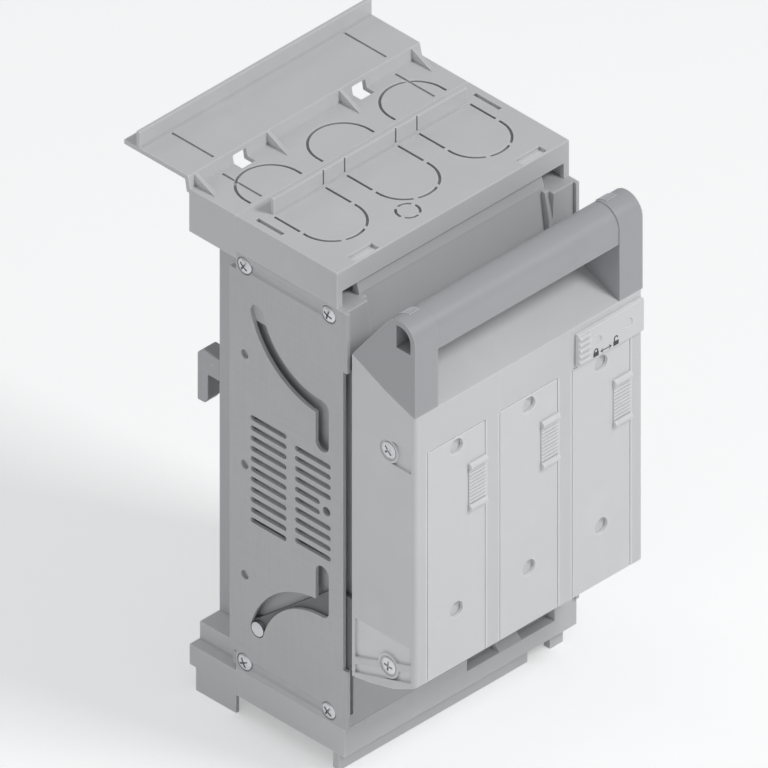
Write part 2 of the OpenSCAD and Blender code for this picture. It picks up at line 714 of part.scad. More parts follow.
// Arch of the grip, seen from the side, from its foot behind the lid to its crest
crest_y = lid_back - 21.8;
crest_z = lid_top + 35.5;
crest_r = lid_d - 21.8;
function arch(t, s) =
  let(p0 = [lid_back, deck_back_z], p1 = [lid_back - 10.6, lid_top + 26.5], p2 = [crest_y, crest_z - s])
  (1 - t) * (1 - t) * p0 + 2 * t * (1 - t) * (p1 - [0, s]) + t * t * p2;
bar_floor = lid_top + 22.2;
tube_back = lid_front + 8.6;

// Outer face of the grip, down to the deck of the lid
module arm_profile() {
  polygon(concat([for (i = [0:8]) arch(i / 8, 0)], [[crest_y, crest_z], [crest_y, crest_z - crest_r]],
    [[lid_front, crest_z - crest_r]], deck_line));
  translate([crest_y, crest_z - crest_r]) circle(crest_r);
}

// Hollow of the grip bar, open at both ends
module tube_profile() intersection() {
  union() {
    translate([crest_y, crest_z - crest_r]) circle(crest_r - grip_wall);
    translate([lid_front + grip_wall, bar_floor + grip_wall])
      square([tube_back - lid_front - grip_wall, crest_z - crest_r - bar_floor - grip_wall]);
  }
  translate([lid_front, bar_floor + grip_wall]) square([tube_back - lid_front, 20]);
}

// Hood between the arms: the arch with the finger space under it
module hood_profile() difference() {
  intersection() {
    arm_profile();
    translate([arm_proud, -arm_proud]) arm_profile();
  }
  difference() {
    polygon(concat([for (i = [0:8]) arch(i / 8, grip_wall)],
      [[tube_back + grip_wall, crest_z - 6], [tube_back + grip_wall, bar_floor]],
      [[lid_front - 1, bar_floor], [lid_front - 1, lid_top]], [deck_line[0], deck_line[1]]));
    translate([lid_front - 1, bar_floor]) square([tube_back + grip_wall - lid_front + 1, 30]);
  }
}

// Handle: an arm at each side and the hollow grip bar between them
module handle() color([0.50, 0.51, 0.53]) difference() {
  union() {
    both_sides() across(lid_half - arm_w, lid_half) arm_profile();
    across(-lid_half + arm_w, lid_half - arm_w) hood_profile();
  }
  across(-lid_half - 1, lid_half + 1) tube_profile();
}

// Lid cheek, seen from the side: hinge eye, arm of the guide pin and neck to the lid
cheek_low = 16;
cheek_high = 40;

module cheek_profile() {
  translate([hinge_y, hinge_z]) circle(5);
  translate([guide_y, guide_z]) circle(3.6);
  polygon([
    [hinge_y - 4.6, hinge_z - 2], [hinge_y + 0.5, hinge_z - 4.9], [guide_y + 1, guide_z - 3.4], [guide_y + 0.8, guide_z + 3.5],
    [lid_back + 9, hinge_z + cheek_high], [lid_back + 0.2, hinge_z + cheek_high], [lid_back + 0.2, hinge_z + cheek_low]
  ]);
}

module lid_cheek() difference() {
  cheek_x = core_half + side_clear;
  union() {
    on_side(cheek_x, cheek_t) cheek_profile();
    block([min(lid_in - cheek_t, cheek_x), lid_back + 0.2, hinge_z + cheek_low],
          [max(lid_in, cheek_x + cheek_t), lid_back + 1.6, hinge_z + cheek_high]);
    on_side(lid_in - cheek_t, cheek_t) translate([lid_back - 11, hinge_z + cheek_low])
      square([11 + 1.6, cheek_high - cheek_low]);
  }
  translate([core_half - 1, hinge_y, hinge_z]) rotate([0, 90, 0]) cylinder(h = 6, d = hinge_d);
  translate([core_half - 1, guide_y, guide_z]) rotate([0, 90, 0]) cylinder(h = 6, d = guide_d);
}

module lid_cheek_right() color([0.45, 0.46, 0.48]) lid_cheek();
module lid_cheek_left() color([0.45, 0.46, 0.48]) mirror([1, 0, 0]) lid_cheek();

// Hinge pins, pressed into the cheeks and turning in the housing
module hinge_pins() color([0.8, 0.8, 0.82]) both_sides()
  translate([core_half - hinge_reach + 0.3, hinge_y, hinge_z]) rotate([0, 90, 0])
    cylinder(h = hinge_reach - 0.3 + side_clear + cheek_t, d = hinge_d);

// Guide pins, pressed into the cheeks and running in the slots of the side plates
module guide_pins() color([0.8, 0.8, 0.82]) both_sides()
  translate([core_half + side_clear, guide_y, guide_z]) rotate([0, 90, 0])
    cylinder(h = half_w - 0.1 - core_half - side_clear, d = guide_d);

// Screws in the side walls of the lid
module lid_screws() color([0.8, 0.8, 0.82]) both_sides() for (z = boss_z)
  translate([lid_half, boss_y, z]) rotate([0, 90, 0]) difference() {
    union() {
      translate([0, 0, -1.7]) cylinder(h = 1.2, d = 3);
      translate([0, 0, -0.7]) cylinder(h = 0.7, d = 6.4);
    }
    translate([0, 0, -0.4]) for (a = [0, 90]) rotate(a) translate([-2, -0.35, 0]) cube([4, 0.7, 1]);
  }

// Ceramic body of a fuse-link
module fuse_body(i) color([0.93, 0.92, 0.88]) translate([pole_x[i], (fuse_front + fuse_back) / 2, -body_half])
  linear_extrude(fuse_h) round_rect(fuse_w, fuse_d, 3);

// End plates of a fuse-link, each with its blade and gripping lug
module fuse_caps(i) color([0.80, 0.80, 0.80]) both_ends() {
  x = pole_x[i];
  translate([x, (fuse_front + fuse_back) / 2, body_half]) linear_extrude(cap_t) round_rect(fuse_w - 1, fuse_d - 1, 3);
  block([x - blade_t / 2, blade_y - blade_w / 2, body_half], [x + blade_t / 2, blade_y + blade_w / 2, blade_tip]);
  block([x - 7, fuse_front - 8.5, body_half], [x + 7, fuse_front + 4, cap_half]);
}

housing();
busbar_adapter();
busbar_hooks();
lower_shroud();
bottom_cover();
top_cover();
busbar_cover();
side_plate_left();
side_plate_right();
plate_screws();
terminal_bolts();
jaw_springs();
upper_contact(0);  // upper_contact_1
upper_contact(1);  // upper_contact_2
upper_contact(2);  // upper_contact_3
lower_contact(0);  // lower_contact_1
lower_contact(1);  // lower_contact_2
lower_contact(2);  // lower_contact_3
lid_shell();
handle();
lid_cheek_left();
lid_cheek_right();
hinge_pins();
guide_pins();
lid_screws();
fuse_body(0);  // fuse_body_1
fuse_body(1);  // fuse_body_2
fuse_body(2);  // fuse_body_3
fuse_caps(0);  // fuse_caps_1
fuse_caps(1);  // fuse_caps_2
fuse_caps(2);  // fuse_caps_3
test_cover(0);  // test_cover_1
test_cover(1);  // test_cover_2
test_cover(2);  // test_cover_3
lock_slide();
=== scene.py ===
"""The looks of a three-pole fuse switch disconnector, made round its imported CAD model.

Lengths are metres in the model's frame: X to the right, Y to the back, Z up, with the
origin in the middle of the pad that sits on the middle busbar.
"""

import json
import math

import bmesh
import bpy
from mathutils import Matrix, Vector
from mathutils.bvhtree import BVHTree
from mathutils.geometry import delaunay_2d_cdt

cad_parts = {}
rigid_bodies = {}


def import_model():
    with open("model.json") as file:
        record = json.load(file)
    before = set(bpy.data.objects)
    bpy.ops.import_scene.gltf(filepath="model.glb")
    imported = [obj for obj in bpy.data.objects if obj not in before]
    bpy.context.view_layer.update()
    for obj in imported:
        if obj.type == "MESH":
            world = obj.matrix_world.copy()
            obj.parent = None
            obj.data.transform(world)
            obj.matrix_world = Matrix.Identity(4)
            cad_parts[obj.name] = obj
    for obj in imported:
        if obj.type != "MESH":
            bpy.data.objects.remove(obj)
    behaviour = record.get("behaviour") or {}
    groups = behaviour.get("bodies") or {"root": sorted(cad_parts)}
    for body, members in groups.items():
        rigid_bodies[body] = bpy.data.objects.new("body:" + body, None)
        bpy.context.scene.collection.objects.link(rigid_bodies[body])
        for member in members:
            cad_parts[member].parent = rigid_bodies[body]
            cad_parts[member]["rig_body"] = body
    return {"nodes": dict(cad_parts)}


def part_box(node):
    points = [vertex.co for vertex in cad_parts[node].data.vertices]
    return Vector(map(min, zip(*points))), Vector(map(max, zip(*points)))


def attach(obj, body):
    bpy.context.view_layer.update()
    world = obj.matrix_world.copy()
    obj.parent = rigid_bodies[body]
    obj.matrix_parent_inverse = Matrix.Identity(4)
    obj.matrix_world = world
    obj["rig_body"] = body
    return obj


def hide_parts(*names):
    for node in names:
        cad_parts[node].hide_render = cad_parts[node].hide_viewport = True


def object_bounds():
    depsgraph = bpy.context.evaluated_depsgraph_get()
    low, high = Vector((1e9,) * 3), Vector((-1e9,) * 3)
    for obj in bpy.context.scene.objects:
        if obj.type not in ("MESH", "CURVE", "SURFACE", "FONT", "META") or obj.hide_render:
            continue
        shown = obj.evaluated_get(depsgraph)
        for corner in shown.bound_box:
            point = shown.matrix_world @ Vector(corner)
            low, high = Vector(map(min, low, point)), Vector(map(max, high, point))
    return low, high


bl_info = {
    "name": "Fuse switch disconnector",
    "version": (1, 0, 0),
    "blender": (4, 5, 0),
    "location": "View3D > Sidebar > Disconnector",
    "description": "Rounds the edges of the packed model, finishes every piece and sets the stage",
    "category": "Object",
}

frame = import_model()
nodes = frame["nodes"]
cad_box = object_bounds()
MM = 0.001

MERGE = 2e-6  # corners nearer than this are one corner
FLAT = math.radians(0.5)  # faces that meet at less than this are one face
PRINT = 0.06 * MM  # thickness of printed marks
PLATE_SCREW_R = 3.1 * MM  # radius of a screw head of the side plates in the CAD model
LID_SCREW_R = 3.2 * MM  # and of a screw head of the lid
CREST_R = 7.0 * MM  # radius of the handle's crest

# Input and output numbers of nodes whose sockets share a name
MIX_FIRST, MIX_SECOND, MIX_RESULT = 6, 7, 2
RANDOM_MOST, RANDOM_VALUE = 3, 1


# ---------------------------------------------------------------- shader sums


class Signal:
    """A number in a shader tree, so that a finish can be written as plain sums."""

    def __init__(self, finish, socket):
        self.finish, self.socket = finish, socket

    def _step(self, operation, *others):
        node = self.finish.tree.nodes.new("ShaderNodeMath")
        node.operation = operation
        for place, value in enumerate((self, *others)):
            self.finish.feed(node.inputs[place], value)
        return Signal(self.finish, node.outputs[0])

    def __add__(self, other):
        return self._step("ADD", other)

    def __sub__(self, other):
        return self._step("SUBTRACT", other)

    def __rsub__(self, other):
        return (self * -1) + other

    def __mul__(self, other):
        return self._step("MULTIPLY", other)

    def rise(self, low, high):
        """0 below low, 1 above high, and smooth between them."""
        node = self.finish.tree.nodes.new("ShaderNodeMapRange")
        node.interpolation_type = "SMOOTHSTEP"
        self.finish.feed(node.inputs["Value"], self)
        node.inputs["From Min"].default_value = low
        node.inputs["From Max"].default_value = high
        return Signal(self.finish, node.outputs["Result"])


class Finish:
    """One procedural finish. Its patterns lie in the model's own space."""

    def __init__(self, name, colour, rough, metal=0.0):
        self.material = bpy.data.materials.new(name)
        self.material.use_nodes = True
        self.material.diffuse_color = (*colour, 1)
        self.tree = self.material.node_tree
        self.shader = self.tree.nodes["Principled BSDF"]
        self.colour = colour
        self.place = self.tree.nodes.new("ShaderNodeTexCoord").outputs["Object"]
        self.tint = None
        self.shader.inputs["Base Color"].default_value = (*colour, 1)
        self.shader.inputs["Roughness"].default_value = rough
        self.shader.inputs["Metallic"].default_value = metal

    def feed(self, socket, value):
        """Gives a socket a number, or what another socket or signal sends."""
        if isinstance(value, Signal):
            self.tree.links.new(value.socket, socket)
        elif isinstance(value, bpy.types.NodeSocket):
            self.tree.links.new(value, socket)
        else:
            socket.default_value = value

    def spot(self, stretch=(1, 1, 1), turn=(0, 0, 0)):
        """The model's coordinates, stretched and turned."""
        node = self.tree.nodes.new("ShaderNodeMapping")
        self.feed(node.inputs["Vector"], self.place)
        node.inputs["Scale"].default_value = stretch
        node.inputs["Rotation"].default_value = turn
        return node.outputs["Vector"]

    def noise(self, scale, detail=2.0, rough=0.5, stretch=(1, 1, 1), turn=(0, 0, 0)):
        """Clouds from 0 to 1. A higher scale makes them smaller."""
        node = self.tree.nodes.new("ShaderNodeTexNoise")
        self.feed(node.inputs["Vector"], self.spot(stretch, turn))
        node.inputs["Scale"].default_value = scale
        node.inputs["Detail"].default_value = detail
        node.inputs["Roughness"].default_value = rough
        return Signal(self, node.outputs["Fac"])

    def cells(self, scale):
        """Small cells. It is 0 in the middle of each and rises outwards."""
        node = self.tree.nodes.new("ShaderNodeTexVoronoi")
        self.feed(node.inputs["Vector"], self.spot())
        node.inputs["Scale"].default_value = scale
        return Signal(self, node.outputs["Distance"])

    def along(self, axis):
        """The place along one axis: 0 for X, 1 for Y, 2 for Z."""
        node = self.tree.nodes.new("ShaderNodeSeparateXYZ")
        self.feed(node.inputs[0], self.place)
        return Signal(self, node.outputs[axis])

    def hidden(self, reach, inside=False):
        """0 on open faces. It rises to 1 in a corner, or with inside towards an outer edge."""
        node = self.tree.nodes.new("ShaderNodeAmbientOcclusion")
        node.samples = 8
        node.inside = inside
        node.only_local = True
        node.inputs["Distance"].default_value = reach
        return 1 - Signal(self, node.outputs["AO"])

    def paint(self, colour, share):
        """Mixes another colour into the base colour."""
        node = self.tree.nodes.new("ShaderNodeMix")
        node.data_type = "RGBA"
        self.feed(node.inputs[0], share)
        if self.tint is None:
            node.inputs[MIX_FIRST].default_value = (*self.colour, 1)
        else:
            self.feed(node.inputs[MIX_FIRST], self.tint)
        node.inputs[MIX_SECOND].default_value = (*colour, 1)
        self.tint = node.outputs[MIX_RESULT]
        self.feed(self.shader.inputs["Base Color"], self.tint)

    def rough(self, signal):
        self.feed(self.shader.inputs["Roughness"], signal)

    def bump(self, height, depth):
        """Raises the surface by height, from 0 to 1, times a depth in metres."""
        node = self.tree.nodes.new("ShaderNodeBump")
        node.inputs["Strength"].default_value = 1.0
        node.inputs["Distance"].default_value = depth
        self.feed(node.inputs["Height"], height)
        self.feed(self.shader.inputs["Normal"], node.outputs["Normal"])


def shade(colour, share):
    """The colour, made lighter or darker."""
    return tuple(min(1.0, c * share) for c in colour)


# ------------------------------------------------------------------- finishes


def moulded(name, colour, rough, grain=0.02, flow=0.45, handled=False):
    """Moulded plastic: spark-eroded grain, flow shading, rubbed edges and painted shade in the corners.

    Grain is the depth of the grain in millimetres. Flow is the share of the flow shading. A
    handled piece is polished towards the top of the lid.
    """
    finish = Finish(name, colour, rough)
    broad = finish.noise(14, 3, stretch=(1, 1, 0.45))
    cloud = finish.noise(55, 2, turn=(0.4, 0.2, 0.9))
    finish.paint(shade(colour, 0.90), broad.rise(0.42, 0.72) * flow)
    finish.paint(shade(colour, 1.08), cloud.rise(0.55, 0.75) * 0.28)
    scuff = finish.noise(160, 4, 0.62, stretch=(1, 1, 0.12), turn=(0.15, 0.5, 0.1)).rise(0.58, 0.80)
    finish.paint(shade(colour, 1.12), scuff * 0.25)
    fine = finish.noise(2600, 2, 0.6)
    coarse = finish.noise(900, 1, 0.5)
    gloss = broad.rise(0.3, 0.75) * 0.05 + cloud * 0.05 + scuff * 0.05
    if handled:
        polish = finish.along(2).rise(50 * MM, 65 * MM) * finish.noise(40, 2).rise(0.25, 0.75)
        gloss = gloss - polish * 0.08
        finish.paint(shade(colour, 0.95), polish * 0.4)
    rubbed = finish.hidden(0.9 * MM, True).rise(0.10, 0.55)
    finish.paint(shade(colour, 1.30), rubbed * (cloud * 0.5 + 0.35))
    # Painted shade: a dark tone laid into corners and creases by ambient occlusion, where shade falls.
    finish.paint(shade(colour, 0.30), finish.hidden(1.6 * MM).rise(0.15, 0.80) * 0.75)
    finish.rough(gloss + (rough - 0.05))
    finish.bump(fine * 0.6 + coarse * 0.4, grain * MM)
    finish.shader.inputs["Specular IOR Level"].default_value = 0.45
    return finish.material


def sheet_plastic(name, colour):
    """Sawn insulating sheet: a fine weave under a thin satin face."""
    finish = Finish(name, colour, 0.5)
    warp = finish.noise(700, 2, 0.5, stretch=(1, 1, 0.08))
    weft = finish.noise(700, 2, 0.5, stretch=(1, 0.08, 1))
    broad = finish.noise(18, 3)
    finish.paint(shade(colour, 0.92), (warp * weft).rise(0.2, 0.34) * 0.35)
    finish.paint(shade(colour, 0.94), broad.rise(0.45, 0.7) * 0.5)
    scratch = finish.noise(240, 3, 0.6, stretch=(1, 0.07, 1), turn=(0.5, 0, 0)).rise(0.69, 0.75)
    finish.paint(shade(colour, 1.15), scratch * 0.35)
    finish.paint(shade(colour, 1.30), finish.hidden(0.7 * MM, True).rise(0.15, 0.55) * 0.5)
    # Painted shade: a dark tone laid into corners and creases by ambient occlusion, where shade falls.
    finish.paint(shade(colour, 0.35), finish.hidden(1.4 * MM).rise(0.15, 0.80) * 0.7)
    finish.rough(broad * 0.10 + scratch * 0.1 + 0.40)
    finish.bump(warp * 0.5 + weft * 0.5, 0.03 * MM)
    return finish.material


def zinc(name, colour, rough=0.32):
    """Zinc-plated steel: pale spangle, turning marks and a little dulling."""
    finish = Finish(name, colour, rough, 1.0)
    spangle = finish.cells(1400)
    dull = finish.noise(220, 3)
    finish.paint(shade(colour, 0.82), dull.rise(0.42, 0.7) * 0.6)
    finish.paint((0.80, 0.79, 0.70), finish.noise(90, 2).rise(0.5, 0.72) * 0.35)
    finish.rough(dull * 0.22 + spangle * 0.1 + (rough - 0.1))
    finish.bump(finish.noise(3000, 2, 0.6, stretch=(0.2, 1, 1)) * 0.6 + spangle * 0.4, 0.015 * MM)
    return finish.material


def bare_metal(name, colour, rough, tarnish):
    """Rolled or plated contact metal: rolling lines, finger tarnish."""
    finish = Finish(name, colour, rough, 1.0)
    lines = finish.noise(1200, 2, 0.6, stretch=(1, 0.5, 0.04))
    stain = finish.noise(70, 3)
    finish.paint(tarnish, stain.rise(0.45, 0.72) * 0.55)
    finish.rough(stain * 0.25 + lines * 0.12 + (rough - 0.12))
    finish.bump(lines, 0.01 * MM)
    return finish.material


def steatite(name, colour):
    """Unglazed ceramic of a fuse-link: tiny pits and a warm tone."""
    finish = Finish(name, colour, 0.62)
    pits = finish.cells(1500)
    cloud = finish.noise(45, 3)
    finish.paint(shade(colour, 0.93), cloud.rise(0.4, 0.7) * 0.6)
    finish.rough(cloud * 0.12 + 0.52)
    finish.bump(pits.rise(0.1, 0.5), 0.03 * MM)
    return finish.material


def die_cast(name, colour):
    """Coated die casting: orange-peel skin and a few bright knocks."""
    finish = Finish(name, colour, 0.42, 0.6)
    peel = finish.noise(800, 2)
    knock = finish.noise(300, 3, 0.6).rise(0.68, 0.74)
    finish.paint((0.78, 0.78, 0.79), knock * 0.6)
    finish.rough(peel * 0.15 + 0.34)
    finish.bump(peel, 0.04 * MM)
    return finish.material


# ---------------------------------------------------------------- making mesh


def show(name, mesh, node, material, smooth=30):
    """Links a finished mesh, shades it smooth up to an angle, if one is given, and lets it ride with a node."""
    mesh.materials.clear()
    mesh.materials.append(material)
    if smooth:
        mesh.shade_smooth()
        mesh.set_sharp_from_angle(angle=math.radians(smooth))
    piece = bpy.data.objects.new(name, mesh)
    bpy.context.scene.collection.objects.link(piece)
    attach(piece, nodes[node]["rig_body"])
    return piece


def settled(piece):
    """Applies every modifier of an object and gives back the plain mesh."""
    bpy.context.view_layer.update()
    graph = bpy.context.evaluated_depsgraph_get()
    mesh = bpy.data.meshes.new_from_object(piece.evaluated_get(graph))
    bpy.data.objects.remove(piece)
    return mesh


def loose(name, mesh):
    """An object that only carries a mesh through its modifiers."""
    piece = bpy.data.objects.new(name, mesh)
    bpy.context.scene.collection.objects.link(piece)
    return piece


def meshed(name, cage):
    """A mesh made from a cage, which is done with."""
    mesh = bpy.data.meshes.new(name)
    cage.to_mesh(mesh)
    cage.free()
    return mesh


def prism(outline, reach):
    """A solid made of a flat outline, given as points, and the vector that it is drawn out along."""
    cage = bmesh.new()
    floor = cage.faces.new([cage.verts.new(p) for p in outline])
    wall = bmesh.ops.extrude_face_region(cage, geom=[floor])["geom"]
    bmesh.ops.translate(cage, vec=reach, verts=[v for v in wall if isinstance(v, bmesh.types.BMVert)])
    bmesh.ops.recalc_face_normals(cage, faces=cage.faces)
    return meshed("prism", cage)


def reshaped(mesh, changes):
    """Joins solids to a mesh or cuts them from it: changes are pairs of a mesh and UNION or DIFFERENCE.

    It is done in millimetres, where the sums are exact enough.
    """
    mesh.transform(Matrix.Scale(1 / MM, 4))
    body = loose("body", mesh)
    tools = []
    for tool, operation in changes:
        tool.transform(Matrix.Scale(1 / MM, 4))
        tools.append(loose("tool", tool))
        step = body.modifiers.new("Change", "BOOLEAN")
        step.object = tools[-1]
        step.operation = operation
        step.solver = "EXACT"
    made = settled(body)
    for tool in tools:
        bpy.data.objects.remove(tool)
    made.transform(Matrix.Scale(MM, 4))
    return made


def skin(mesh):
    """The surface of a mesh, for finding the nearest point or where a ray hits it."""
    return BVHTree.FromPolygons([v.co for v in mesh.vertices], [p.vertices for p in mesh.polygons])


def refilled(cage):
    """Fills again each flat face whose outline crosses itself, as bevels in tight corners can leave it.

    Such a face shows by its triangles, which together are larger than its area.
    """
    spread = {}
    for loops in cage.calc_loop_triangles():
        a, b, c = (loop.vert.co for loop in loops)
        spread[loops[0].face] = spread.get(loops[0].face, 0) + (b - a).cross(c - a).length / 2
    surplus, least = 1.005, 1e-9
    crossed = [face for face, area in spread.items()
               if len(face.verts) > 4 and area > face.calc_area() * surplus + least]
    for face in crossed:
        across = face.normal.orthogonal().normalized()
        turn = Matrix((across, face.normal.cross(across), face.normal))
        corners = list(face.verts)
        flat = [turn @ corner.co / MM for corner in corners]
        level = sum(p.z for p in flat) / len(flat)
        loop = [list(range(len(flat)))]
        inside, near = 1, 1e-5
        places, _, fills, old, _, _ = delaunay_2d_cdt([p.xy for p in flat], [], loop, inside, near)
        ends = [corners[o[0]] if o else cage.verts.new(turn.transposed() @ Vector((*p, level)) * MM)
                for p, o in zip(places, old)]
        cage.faces.remove(face)
        for fill in fills:
            tips = [ends[i] for i in fill]
            if len(set(tips)) == 3 and not cage.faces.get(tips):
                cage.faces.new(tips)


def held(cage, plain, reach):
    """Puts corners that stand further off than reach back on the plain surface."""
    for corner in cage.verts:
        place, _, _, off = plain.find_nearest(corner.co)
        if off > reach:
            corner.co = place
    bmesh.ops.remove_doubles(cage, verts=cage.verts, dist=MERGE)


def rounded(node, width, material, segments=2, limit=28, changes=()):
    """Shows a copy of a CAD node in the node's place, with the changes made and its edges rounded.

    Edges that turn by less than the limit, in degrees, stay as they are. The weighted normals
    keep the flat faces flat in the light.
    """
    mesh = nodes[node].data.copy()
    cage = bmesh.new()
    cage.from_mesh(mesh)
    bmesh.ops.remove_doubles(cage, verts=cage.verts, dist=MERGE)
    cage.to_mesh(mesh)
    if changes:
        mesh = reshaped(mesh, changes)
        cage.clear()
        cage.from_mesh(mesh)
    bmesh.ops.dissolve_limit(cage, angle_limit=FLAT, verts=cage.verts, edges=cage.edges)
    cage.to_mesh(mesh)
    plain = BVHTree.FromBMesh(cage)
    carrier = loose(node, mesh)
    edge = carrier.modifiers.new("Rounded edges", "BEVEL")
    edge.width = width
    edge.segments = segments
    edge.limit_method = "ANGLE"
    edge.angle_limit = math.radians(limit)
    edge.use_clamp_overlap = False
    edge.miter_outer = "MITER_ARC"
    mesh = settled(carrier)
    cage.clear()
    cage.from_mesh(mesh)
    reach = width * 0.45
    held(cage, plain, reach)
    bmesh.ops.dissolve_degenerate(cage, edges=cage.edges, dist=MERGE / 2)
    cage.normal_update()
    refilled(cage)
    held(cage, plain, reach)
    cage.to_mesh(mesh)
    cage.free()
    mesh.shade_smooth()
    carrier = loose(node, mesh)
    level = carrier.modifiers.new("Flat faces", "WEIGHTED_NORMAL")
    level.weight = 90
    piece = show(node + "_form", settled(carrier), node, material, None)
    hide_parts(node)
    return piece


def blocks(boxes):
    """A mesh of separate boxes, each given by its two corners."""
    cage = bmesh.new()
    for low, high in boxes:
        middle = (Vector(low) + Vector(high)) / 2
        spread = Vector(high) - Vector(low)
        place = Matrix.Translation(middle) @ Matrix.Diagonal((*spread, 1))
        bmesh.ops.create_cube(cage, size=1, matrix=place)
    return meshed("blocks", cage)


def turned(profile):
    """A mesh spun round Z from a profile of (radius, height) points."""
    cage = bmesh.new()
    ring = [cage.verts.new((radius, 0, height)) for radius, height in profile]
    lines = [cage.edges.new(pair) for pair in zip(ring, ring[1:])]
    bmesh.ops.spin(cage, geom=ring + lines, cent=(0, 0, 0), axis=(0, 0, 1), angle=math.tau, steps=48)
    bmesh.ops.remove_doubles(cage, verts=cage.verts, dist=1e-7)
    bmesh.ops.recalc_face_normals(cage, faces=cage.faces)
    return meshed("turned", cage)


def swept(path, thick, deep):
    """A flat line drawn on a front face: a path of (x, z) points, widened and given a depth in Y."""
    cage = bmesh.new()
    back = Vector((0, deep, 0))
    rows = []
    for before, (x, z), after in zip([path[0], *path], path, [*path[1:], path[-1]]):
        way = Vector((after[0] - before[0], 0, after[1] - before[1])).normalized()
        side = Vector((-way.z, 0, way.x)) * thick / 2
        here = Vector((x, 0, z))
        corners = (here + side, here - side, here - side + back, here + side + back)
        rows.append([cage.verts.new(p) for p in corners])
    for a, b in zip(rows, rows[1:]):
        for k in range(4):
            cage.faces.new((a[k], b[k], b[(k + 1) % 4], a[(k + 1) % 4]))
    cage.faces.new(rows[0])
    cage.faces.new(rows[-1][::-1])
    bmesh.ops.recalc_face_normals(cage, faces=cage.faces)
    return meshed("line", cage)


def joined(meshes):
    """One mesh out of several."""
    cage = bmesh.new()
    for mesh in meshes:
        cage.from_mesh(mesh)
    return meshed("joined", cage)


# ------------------------------------------------------------- geometry nodes


def new_tree(name, inputs):
    """An empty geometry tree with named inputs and one geometry output."""
    tree = bpy.data.node_groups.new(name, "GeometryNodeTree")
    tree.interface.new_socket("Geometry", in_out="INPUT", socket_type="NodeSocketGeometry")
    for label, kind, value in inputs:
        socket = tree.interface.new_socket(label, in_out="INPUT", socket_type="NodeSocket" + kind)
        if value is not None:
            socket.default_value = value
    tree.interface.new_socket("Geometry", in_out="OUTPUT", socket_type="NodeSocketGeometry")
    return tree


def wire(tree, start, outlet, end, inlet):
    """Links two nodes of a tree. The sockets are given by name or number."""
    tree.links.new(start.outputs[outlet], end.inputs[inlet])


def grown(tree, base, values):
    """Runs a geometry tree on a base mesh and gives back the plain mesh."""
    carrier = loose(tree.name, base)
    growth = carrier.modifiers.new(tree.name, "NODES")
    growth.node_group = tree
    for item in tree.interface.items_tree:
        if item.in_out == "INPUT" and item.name in values:
            growth[item.identifier] = values[item.name]
    return settled(carrier)


def screw_tree():
    """A screw head on every point, turned to a random rest about its own axis."""
    tree = new_tree("Screw heads", [
        ("Head", "Object", None),
        ("Lean", "Vector", (0.0, 0.0, 0.0)),
        ("Seed", "Int", 3),
        ("Material", "Material", None),
    ])
    add = tree.nodes.new
    given, made = add("NodeGroupInput"), add("NodeGroupOutput")
    head, spread = add("GeometryNodeObjectInfo"), add("GeometryNodeInstanceOnPoints")
    chance, axis = add("FunctionNodeRandomValue"), add("ShaderNodeCombineXYZ")
    spin, whole = add("GeometryNodeRotateInstances"), add("GeometryNodeRealizeInstances")
    coat = add("GeometryNodeSetMaterial")
    chance.data_type = "FLOAT"
    chance.inputs[RANDOM_MOST].default_value = math.tau
    wire(tree, given, "Head", head, "Object")
    wire(tree, given, "Geometry", spread, "Points")
    wire(tree, head, "Geometry", spread, "Instance")
    wire(tree, given, "Lean", spread, "Rotation")
    wire(tree, given, "Seed", chance, "Seed")
    wire(tree, chance, RANDOM_VALUE, axis, "Z")
    wire(tree, spread, "Instances", spin, "Instances")
    wire(tree, axis, "Vector", spin, "Rotation")
    wire(tree, spin, "Instances", whole, "Geometry")
    wire(tree, whole, "Geometry", coat, "Geometry")
    wire(tree, given, "Material", coat, "Material")
    wire(tree, coat, "Geometry", made, "Geometry")
    return tree


def rib_tree():
    """A row of rounded ribs that starts on every point of the base and climbs by one pitch each."""
    tree = new_tree("Ribs", [
        ("Count", "Int", 5),
        ("Step", "Vector", (0.0, 0.0, 0.001)),
        ("Reach", "Vector", (0.005, 0.0, 0.0)),
        ("Radius", "Float", 0.0004),
        ("Material", "Material", None),
    ])
    add = tree.nodes.new
    given, made = add("NodeGroupInput"), add("NodeGroupOutput")
    row, line = add("GeometryNodeMeshLine"), add("GeometryNodeCurvePrimitiveLine")
    ring, rod = add("GeometryNodeCurvePrimitiveCircle"), add("GeometryNodeCurveToMesh")
    rows, field = add("GeometryNodeInstanceOnPoints"), add("GeometryNodeInstanceOnPoints")
    whole, coat = add("GeometryNodeRealizeInstances"), add("GeometryNodeSetMaterial")
    ring.inputs["Resolution"].default_value = 12
    rod.inputs["Fill Caps"].default_value = True
    wire(tree, given, "Count", row, "Count")
    wire(tree, given, "Step", row, "Offset")
    wire(tree, given, "Reach", line, "End")
    wire(tree, given, "Radius", ring, "Radius")
    wire(tree, line, "Curve", rod, "Curve")
    wire(tree, ring, "Curve", rod, "Profile Curve")
    wire(tree, row, "Mesh", rows, "Points")
    wire(tree, rod, "Mesh", rows, "Instance")
    wire(tree, given, "Geometry", field, "Points")
    wire(tree, rows, "Instances", field, "Instance")
    wire(tree, field, "Instances", whole, "Geometry")
    wire(tree, whole, "Geometry", coat, "Geometry")
    wire(tree, given, "Material", coat, "Material")
    wire(tree, coat, "Geometry", made, "Geometry")
    return tree


def points(places):
    """A mesh of loose points."""
    mesh = bpy.data.meshes.new("points")
    mesh.from_pydata([tuple(p) for p in places], [], [])
    return mesh


# ------------------------------------------------------------------- settings


def length(name, about, size):
    """A length among the settings, given in millimetres."""
    return bpy.props.FloatProperty(name=name, description=about, default=size * MM, unit="LENGTH")


def power(name, about, watts):
    """The power of a lamp among the settings."""
    return bpy.props.FloatProperty(name=name, description=about, default=watts, unit="POWER")


